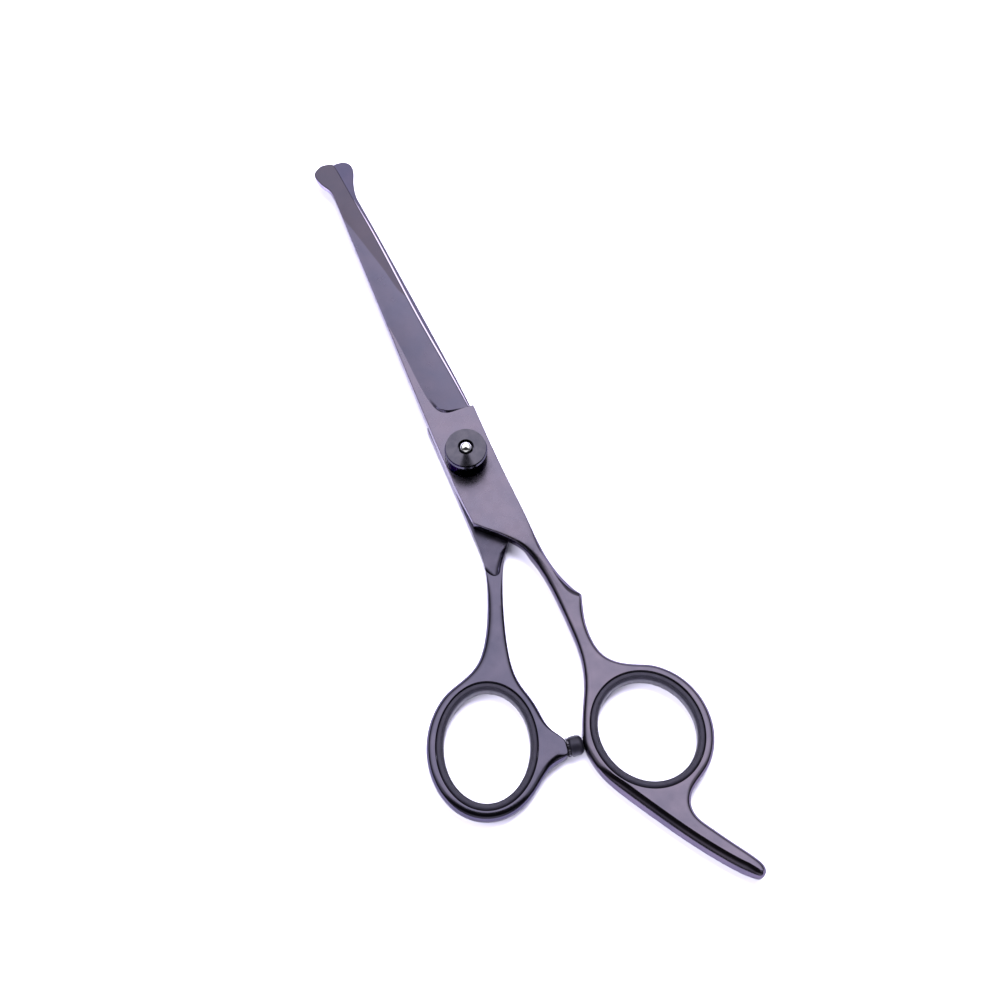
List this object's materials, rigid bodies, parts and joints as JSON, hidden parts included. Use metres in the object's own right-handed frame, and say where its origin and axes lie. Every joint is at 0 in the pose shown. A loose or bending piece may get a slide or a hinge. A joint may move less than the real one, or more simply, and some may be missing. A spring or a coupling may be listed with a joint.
{
  "type": "hair cutting shears",
  "caption": "Offset hair cutting shears with round safety tips, soft ring liners, a finger rest, a rubber bumper and a knurled tension knob.",
  "frame": {"origin": "on the pivot axis, in the plane of the bolt head's underside", "axes": "+Z along the pivot axis towards the adjusting knob, +Y along the closed blades towards the tips, +X towards the finger ring's side"},
  "size_m": [0.0649, 0.2098, 0.0151],
  "materials": {
    "coated_steel": "glossy black-violet vapour coating",
    "knob_steel": "dark satin coating, knurled",
    "bolt_steel": "polished dark steel",
    "dome_chrome": "mirror polished",
    "spring_steel": "satin",
    "bush_brass": "satin",
    "washer_plastic": "waxy",
    "liner_rubber": "soft matte",
    "bumper_rubber": "satin"
  },
  "bodies": {
    "thumb_half": {"thumb_blade": "coated_steel", "thumb_ring_insert": "liner_rubber", "bumper_stud": "bolt_steel", "bumper_lock_washer": "bolt_steel", "bumper_cap": "bumper_rubber", "pivot_bolt": "bolt_steel", "bolt_end_cap": "dome_chrome", "ride_washer": "washer_plastic", "disc_spring_lower": "spring_steel", "disc_spring_upper": "spring_steel"},
    "finger_half": {"finger_blade": "coated_steel", "finger_ring_insert": "liner_rubber", "pivot_bush": "bush_brass", "thrust_washer": "washer_plastic"},
    "click_follower": {"click_plate": "spring_steel"},
    "knob": {"adjusting_knob": "knob_steel", "detent_balls": "spring_steel", "detent_springs": "spring_steel"}
  },
  "joints": [
    {"name": "blade_pivot", "type": "hinge", "parent": "thumb_half", "child": "finger_half", "pos_m": [0, 0, 0.00393], "axis": [0, 0, 1], "range_deg": [0, 80]},
    {"name": "knob_travel", "type": "slide", "parent": "thumb_half", "child": "click_follower", "axis": [0, 0, 1], "range_m": [-0.000124, 0.000249], "deforming": ["disc_spring_lower", "disc_spring_upper"]},
    {"name": "knob_turn", "type": "hinge", "parent": "click_follower", "child": "knob", "pos_m": [0, 0, 0.0107], "axis": [0, 0, 1], "range_deg": [-90, 180]}
  ],
  "couplings": [
    {"joint": "knob_turn", "follows": "knob_travel", "rad_per_m": 12566}
  ]
}
